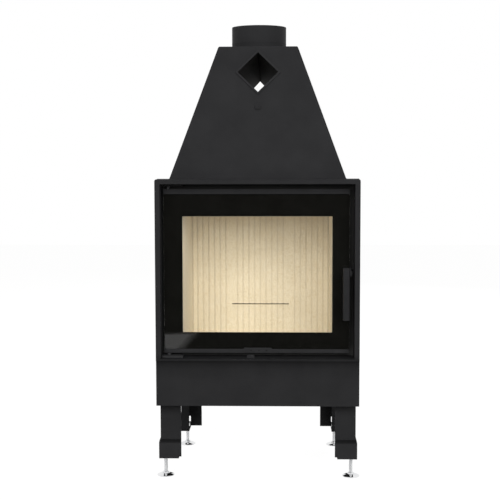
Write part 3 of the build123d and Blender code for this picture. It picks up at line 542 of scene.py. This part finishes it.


# The duct's paint is darkened within as painted shade, and paled on its front rim as painted light, as dark and
# as pale as the photo shows it
duct_painted_light_and_shade = coated("stove_paint_duct_painted_light_and_shade", "#131211", "#181716", 60, 2.5, 0.05, (0.60, 0.72), painted_rim_light,
                    Specular_IOR_Level=0.04)
dress(duct_painted_light_and_shade, "heat_exchange_duct")
piece("duct_weld_seams",
      [weld_bead(front_diamond, duct_way, fine_bead), weld_bead(back_diamond, back_normal, weld_size)],
      stove_paint, "root")

# Flue collar: the round outlet that the flue pipe slips over, rolled from 2.5 mm steel sheet. Its rim is
# rounded, a faint bead runs round it, and it is welded to the cap.
low, high, centre = middle("flue_collar")
collar_radius, collar_wall = (high[0] - low[0]) / 2, 0.0025
collar_bead, collar_bead_at = 0.0004, 0.020
collar_profile = pipe_profile(collar_radius - collar_bead, collar_wall - collar_bead, high[2] - low[2],
                              collar_bead_at, collar_bead)
piece("flue_collar_pipe", [turned(collar_profile, (centre[0], centre[1], low[2]), (0, 0, 1), 160)],
      stove_paint, "root", ["flue_collar"])
collar_seam = circle_path((centre[0], centre[1], low[2] + weld_off), collar_radius + weld_off, (0, 0, 1), 200)
piece("flue_collar_weld", [weld_bead(collar_seam, (0, 0, 1), weld_size)],
      stove_paint, "root")

# Sensor boss: a turned steel ring, taken as the seat of a heat sensor, welded square to the leaning hood
# front and closed by a slotted plug.
dress(stove_paint, "sensor_boss", "sensor_plug")
_, _, centre = middle("sensor_boss")
boss_half_height, boss_weld_radius, boss_bead = 0.002, 0.0102, 0.0010
boss_seam = circle_path(centre + duct_way * boss_half_height, boss_weld_radius, duct_way, 60)
piece("sensor_boss_weld", [weld_bead(boss_seam, duct_way, boss_bead)],
      stove_paint, "root")

# Front surround and apron panel: one folded sheet frame round the door, and a folded front below it. Their
# paint carries painted shade by height to match the photo: the shelf under the door and the top 64 mm of the
# apron, which lie in shade, are painted darker.
surround_low, surround_high, _ = middle("front_surround")
_, apron_high, _ = middle("apron_panel")
shelf_painted_shade = [(surround_low[2], 0.72), (surround_low[2] + 0.010, 0.72), (surround_low[2] + 0.020, 1.0),
               (surround_high[2], 1.0)]
apron_painted_shade = [(apron_high[2] - drop, tone) for drop, tone in
               ((0.064, 1.0), (0.029, 0.80), (0.013, 0.56), (0.006, 0.36), (0.0, 0.28))]
for panel, finish, tones in (("front_surround", "stove_paint_round_door_painted_shade", shelf_painted_shade),
                             ("apron_panel", "stove_paint_under_shelf_painted_shade", apron_painted_shade)):
    dress(coated(finish, "#1f1f20", "#232324", 90, 2.5, 0.05, (0.52, 0.64), painted_shade_by_height(tones),
                 Specular_IOR_Level=0.07), panel)

# Door frame with its hinge blocks, and the hinge plates on the seat plate: 3 mm folded sheet, solid blocks
# and 5 mm plate, welded. The frame holds the pane and the gaskets, and the blocks turn on the pins.
dress(burnt_in_paint, "door_frame", "hinge_blocks")
# The hinge plates' paint varies by height to match the photo: painted light makes the lower one pale, and
# painted shade makes the upper one dark
hinge_plate_painted_light_and_shade = coated("stove_paint_hinges_painted_light_and_shade", "#2b2b2c", "#303031", 30, 2.0, 0.03, (0.45, 0.56),
                           painted_shade_by_height([(0.45, 1.0), (0.90, 0.30)]), Specular_IOR_Level=0.12)
dress(hinge_plate_painted_light_and_shade, "hinge_plates")


def hexagon_radius(width, angle, turn=0.0):
    """How far a hexagon's side lies from its centre at each angle, by its width across flats: half the width
    over the cosine of the angle to the middle of the side. turn is the angle of a side's middle."""
    sixth = math.pi / 3
    return width / 2 / np.cos((angle - turn + sixth / 2) % sixth - sixth / 2)


# Hinge pins: turned 8 mm steel pins that stand in the hinge plates and reach into the blocks, with chamfered
# ends and a hexagon collar to screw them in by.
pin_width, pin_radius, pin_chamfer = 0.013, 0.004, 0.0008
pins_low, pins_high, pins_centre = middle("hinge_pins")
plates_low, plates_high, _ = middle("hinge_plates")
blocks_low, blocks_high, _ = middle("hinge_blocks")
frame_low, _, _ = middle("door_frame")
pin_reach, plate_thickness, collar_gap = 0.014, 0.005, 0.0003


def hinge_pin(bottom, collar_bottom, collar_top, top):
    """A pin's skin: chamfered rod, hexagon collar with its corners cut by a cone, and rod again."""
    rows = [(0, bottom), (pin_radius - pin_chamfer, bottom), (pin_radius, bottom + pin_chamfer),
            (pin_radius, collar_bottom), (1, collar_bottom), (1, collar_top - pin_chamfer / 2),
            (pin_width / 2, collar_top), (pin_radius, collar_top), (pin_radius, top - pin_chamfer),
            (pin_radius - pin_chamfer, top), (0, top)]

    def shape(radius, height, angle):
        return np.where(radius == 1, hexagon_radius(pin_width, angle, math.pi / 6), radius)

    return turned(rows, (pins_centre[0], pins_centre[1], 0), (0, 0, 1), 72, shape)


pins = [
    hinge_pin(pins_low[2], plates_low[2] + plate_thickness, frame_low[2] - collar_gap,
              blocks_low[2] + pin_reach),
    hinge_pin(blocks_high[2] - pin_reach, plates_high[2], pins_high[2] - pin_chamfer, pins_high[2]),
]
# Blued steel, turned: a dark oxide that shines a little more than the paint round it, made paler than that as
# painted light on the collars in the gap's shade
blued_steel_painted_light = coated("blued_steel_turned_painted_light", "#38383a", "#404042", 10, 1.0, 0.01, (0.35, 0.45),
                     Specular_IOR_Level=0.3)
piece("hinge_pins_turned", pins, blued_steel_painted_light, "root", ["hinge_pins"], 25)


# Door gaskets: graphited glass fibre, a flat tape behind the pane and a braided rope in the channel, whose
# strands are about 3 mm wide and cross each other.
def rounded_rectangle(half_x, low_z, high_z, radius, count=8, centre_x=0.0):
    """Points round an upright rectangle whose corners are arcs, the same number for any size."""
    centre = np.array([(centre_x, (low_z + high_z) / 2)])
    half = np.array([half_x, (high_z - low_z) / 2])
    points = []
    for k, (sx, sz) in enumerate([(1, 1), (-1, 1), (-1, -1), (1, -1)]):
        angle = np.radians(np.linspace(90 * k, 90 * k + 90, count))
        corner = centre + (half - radius) * np.array([sx, sz])
        points.append(corner + radius * np.stack([np.cos(angle), np.sin(angle)], axis=-1))
    return np.concatenate(points)


def standing(outline, y):
    """An (x, z) outline stood upright at one depth."""
    return np.stack([outline[:, 0], np.broadcast_to(y, len(outline)), outline[:, 1]], axis=-1)


# Glass fibre rubbed with graphite: a dull, fluffy black with browner patches
gasket_black = coated("glass_fibre_braid_graphited", "#1b1a19", "#272624", 8, 0.9, 0.15, (0.85, 0.95),
                      Specular_IOR_Level=0.2)
dress(gasket_black, "glass_tape")
low, high, centre = middle("door_rope")
rope_half_width, rope_half_depth = 0.005, (high[1] - low[1]) / 2
rope_line = standing(rounded_rectangle(high[0] - rope_half_width, low[2] + rope_half_width,
                                       high[2] - rope_half_width, 0.014, 24), centre[1])
rope_path, rope_travel = evenly(rope_line, 0.0012)
# The braid repeats every 14 mm or so, a whole number of times along the rope, and a strand goes a sixth of
# the way round in that length
braid_pitch = rope_travel[-1] / round(rope_travel[-1] / 0.014)
angle = np.arange(36) * 2 * math.pi / 36
phase = 2 * math.pi * rope_travel[:, None] / braid_pitch
braid = 0.93 + 0.07 * np.sin(6 * angle[None] + phase) * np.sin(6 * angle[None] - phase)


def squared(cosine):
    """A circle's cosine pushed out towards the sides of a square."""
    return np.sign(cosine) * np.abs(cosine) ** 0.75


rope_section = np.stack([rope_half_width * braid * squared(np.cos(angle)),
                         rope_half_depth * braid * squared(np.sin(angle))], axis=-1)
piece("door_rope_braided", [carried(rope_path, rope_section, (0, 1, 0))], gasket_black, "door",
      ["door_rope"], 60)

# Pane: 4 mm clear glass ceramic with a black enamel border printed on its rear face, and faintly uneven from
# rolling, so that what it mirrors bends a little.
glass, tree, output = blank_material("glass_ceramic_clear")
swell = node(tree, "ShaderNodeTexNoise", {"Vector": node(tree, "ShaderNodeTexCoord").outputs["Object"],
                                          "Scale": 1000 / 60, "Detail": 1.0, "Roughness": 0.55})
waves = node(tree, "ShaderNodeBump", {"Height": swell.outputs["Fac"], "Strength": 0.15, "Distance": 0.0002})
pane_shader = node(tree, "ShaderNodeBsdfPrincipled", {
    "Base Color": linear("#fdfcf8"), "Roughness": 0.015, "IOR": 1.52, "Transmission Weight": 1.0,
    "Normal": waves.outputs[0]})
open_shader = node(tree, "ShaderNodeBsdfTransparent", {"Color": linear("#fbfaf6")})
path = node(tree, "ShaderNodeLightPath")
lets_through = node(tree, "ShaderNodeMath",
                    {0: path.outputs["Is Shadow Ray"], 1: path.outputs["Is Diffuse Ray"]}, operation="MAXIMUM")
pane_mix = node(tree, "ShaderNodeMixShader",
                {0: lets_through.outputs[0], 1: pane_shader.outputs[0], 2: open_shader.outputs[0]})
tree.links.new(pane_mix.outputs[0], output.inputs["Surface"])
dress(glass, "door_glass")


def band(outer, inner, front, back):
    """A flat ring between two outlines of (x, z) points, from one depth to another."""
    rows = [(outer, front), (inner, front), (inner, back), (outer, back), (outer, front)]
    return np.array([standing(outline, y) for outline, y in rows])


# Enamel fired onto the glass: a flat black with no shine of its own, because only the glass over it shines
enamel = coated("glass_print_enamel_black", "#0e0e0d", "#111110", 40, 1.0, 0.002, (0.25, 0.35),
                Specular_IOR_Level=0.0)
low, high, centre = middle("door_glass")
print_margin, print_front, print_back = 0.0004, 0.00010, 0.00003
window_half, window_low, window_high, window_centre = 0.2366, 0.4697, 0.8384, -0.0013
print_outer = rounded_rectangle((high[0] - low[0]) / 2 - print_margin, low[2] + print_margin,
                                high[2] - print_margin, 0.001, centre_x=centre[0])
print_inner = rounded_rectangle(window_half, window_low, window_high, 0.002, centre_x=window_centre)
piece("door_glass_print", [band(print_outer, print_inner, high[1] - print_front, high[1] - print_back)],
      enamel, "door")

# Glass strips: folded 2.5 mm angles that clamp the pane; the lower one has a raised tab with three round
# marks over the lever's way, taken as its air scale.
dress(satin_paint, "glass_strip_top")
dress(satin_paint_painted_light, "glass_strip_bottom")
# The marks are only dots of 1 to 2 pixels in the photo, so they are plain black prints, a film with a softly
# rounded edge
mark_paint = coated("mark_print_black", "#141414", "#191919", 5, 0.8, 0.01, (0.5, 0.6), Specular_IOR_Level=0.1)
low, _, _ = middle("glass_strip_bottom")
mark_height = 0.0082
marks = []
for mark_x, mark_radius in ((-0.0211, 0.0020), (0.0037, 0.0019), (0.0272, 0.0024)):
    rows = [(0, -0.0001), (mark_radius, -0.0001), (mark_radius, 0.00012), (mark_radius * 0.9, 0.00018),
            (0, 0.0002)]
    marks.append(turned(rows, (mark_x, low[1], low[2] + mark_height), (0, -1, 0), 48))
piece("air_marks", marks, mark_paint, "door")


# Handle: a solid rounded steel grip with soft ends, hung on a level spindle in an ear of the door, and the
# latch hook on the spindle's other end, with its keeper on the surround's wall.
def rounded_bar(low, high, corner, end, count=12):
    """An upright bar: rounded rectangles stacked along z. At t from 0 to 90 degrees its outline is inset by
    end * (1 - sin t) where it lies end * (1 - cos t) in from the bar's end."""
    middle_x, half_x = (low[0] + high[0]) / 2, (high[0] - low[0]) / 2
    turn = np.radians(np.linspace(0, 90, 7))
    inset, rise = end * (1 - np.sin(turn)), end * (1 - np.cos(turn))
    rows = []
    for shrink, z in [*zip(inset, low[2] + rise), *zip(inset[::-1], high[2] - rise[::-1])]:
        outline = rounded_rectangle(half_x - shrink, low[1] + shrink, high[1] - shrink,
                                    corner - shrink, count, middle_x)
        rows.append(np.stack([outline[:, 0], outline[:, 1], np.full(len(outline), z)], axis=-1))
    caps = [row.mean(axis=0, keepdims=True).repeat(len(row), axis=0) for row in (rows[0], rows[-1])]
    return np.array([caps[0], *rows, caps[1]])


low, high, _ = middle("handle_grip")
grip_corner, grip_end = 0.006, 0.0025
piece("handle_grip_rounded", [rounded_bar(low, high, grip_corner, grip_end)], satin_paint, "handle",
      ["handle_grip"])
dress(satin_paint, "handle_bracket", "latch_hook", "latch_keeper")

# Legs and shoes: posts folded from 3 mm sheet, with a joggled shoe welded round the foot of each. The shoes'
# paint is matched to the photo: painted light makes it a little paler than the legs', and painted shade makes
# it dark in the joggle at its top.
corners = ("front_left", "front_right", "rear_left", "rear_right")
shoe_top = middle("shoe_front_left")[1][2]
joggle_painted_shade = [(shoe_top - drop, tone) for drop, tone in
                ((0.0120, 1.0), (0.0100, 0.60), (0.0060, 0.30), (0.0, 0.24))]
shoe_painted_light_and_shade = coated("stove_paint_shoes_painted_light_and_shade", "#232324", "#282829", 90, 2.5, 0.05, (0.52, 0.64),
                    painted_shade_by_height(joggle_painted_shade), Specular_IOR_Level=0.07)
for corner in corners:
    dress(stove_paint, "leg_" + corner)
    dress(shoe_painted_light_and_shade, "shoe_" + corner)

# Weld nuts: M12 hexagon nuts of plated steel, welded on the shoes' floors to take the studs of the feet. The
# bore and the hexagon are chamfered at the top.
nuts_low, nuts_high, _ = middle("weld_nuts")
nut_height, nut_width, bore = nuts_high[2] - nuts_low[2], 0.018, 0.00605
nut_rows = [(bore, 0), (1, 0), (1, nut_height - 0.0008), (nut_width / 2 - 0.0002, nut_height),
            (bore + 0.0007, nut_height), (bore, nut_height - 0.0007), (bore, 0)]


def nut_shape(radius, height, angle):
    """Rows marked 1 follow the nut's hexagon, the others stay round."""
    return np.where(radius == 1, hexagon_radius(nut_width, angle), radius)


foot_places = {corner: middle("foot_" + corner) for corner in corners}
nuts = [turned(nut_rows, (centre[0], centre[1], nuts_low[2]), (0, 0, 1), 72, nut_shape)
        for _, _, centre in foot_places.values()]
piece("weld_nuts_chamfered", nuts, bright_zinc, "root", ["weld_nuts"], 25)

# Leg bolts: plated M10 hexagon bolts through the legs' tabs, their heads outside. The heads have a cone cut
# on their corners, and the shanks a chamfered end.
low, high, centre = middle("leg_bolts")
head_width, head_height, shank, shank_length = 0.017, 0.0064, 0.005, 0.009
bolt_rows = [(0, head_height), (head_width / 2 - 0.0004, head_height), (1, head_height - 0.0009), (1, 0.0003),
             (head_width / 2 - 0.0002, 0), (shank, 0), (shank, 0.0008 - shank_length),
             (shank - 0.0008, -shank_length), (0, -shank_length)]


def head_shape(radius, height, angle):
    """Rows marked 1 follow the head's hexagon, the others stay round."""
    return np.where(radius == 1, hexagon_radius(head_width, angle, math.pi / 6), radius)


front_bolt_x = high[0] - head_width / math.sqrt(3)
rear_bolt_x = middle("leg_rear_right")[2][0]
bolts = []
for side in (-1, 1):
    for x, y, outward in ((front_bolt_x, low[1] + head_height, -1), (rear_bolt_x, high[1] - head_height, 1)):
        bolts.append(turned(bolt_rows, (side * x, y, centre[2]), (0, outward, 0), 72, head_shape))
piece("leg_bolts_chamfered", bolts, bright_zinc, "root", ["leg_bolts"], 25)

# Levelling feet: a rolled M12 stud in a pressed pad with a rounded rim and a crown, and a hexagon boss
# to turn it by; all plated bright.
# Bright plating over smooth steel: close to a mirror, with faint clouds
bright_plating = coated("bright_plating_on_feet", "#dcdddf", "#eeeeee", 20, 0.8, 0.002, (0.05, 0.10),
                        Metallic=1.0)
pad_thickness, boss_width, boss_top = 0.004, 0.019, 0.013
thread_pitch, thread_depth, stud_radius = 0.00175, 0.00107, 0.006
crown_top, boss_foot_height, tip_chamfer = 0.0092, 0.0088, 0.0012


def foot_shape(radius, height, angle):
    """Rows marked 1 follow the boss's hexagon. Rows marked 2 follow the thread: the stud's radius less a
    triangle wave of the thread's depth that runs once for each pitch of height and once round the stud."""
    hexagon = hexagon_radius(boss_width, angle)
    wave = (height / thread_pitch - angle / (2 * math.pi)) % 1
    ridge = np.clip(1.25 * np.abs(2 * wave - 1) - 0.125, 0, 1)
    thread = stud_radius - thread_depth * ridge
    return np.where(radius == 1, hexagon, np.where(radius == 2, thread, radius))


for corner, (low, high, centre) in foot_places.items():
    pad_radius, stud_top = (high[0] - low[0]) / 2, high[2] - low[2]
    rim = pad_thickness / 2
    crown_foot, crown_head, crown_base = pad_radius - rim * 0.4, 0.0115, rim * 1.8
    # The crown falls from its top by the 1.5th power of the way from its head to its foot
    crown = [(crown_head + way * (crown_foot - crown_head), crown_top - (crown_top - crown_base) * way ** 1.5)
             for way in np.linspace(1, 0, 14)]
    rows = [(0, 0), *arc((pad_radius - rim, rim), rim, -90, 50, 9), *crown, (1, boss_foot_height),
            (1, boss_top - 0.0012), (boss_width / 2 - 0.0004, boss_top), (stud_radius, boss_top)]
    rows += [(2, z) for z in np.arange(boss_top + 0.0002, stud_top - tip_chamfer, thread_pitch / 8)]
    rows += [(stud_radius - thread_depth, stud_top - tip_chamfer / 2),
             (stud_radius - 1.6 * thread_depth, stud_top), (0, stud_top)]
    piece(f"foot_{corner}_threaded", [turned(rows, (centre[0], centre[1], low[2]), (0, 0, 1), 60, foot_shape)],
          bright_plating, "foot_" + corner, ["foot_" + corner], 25)
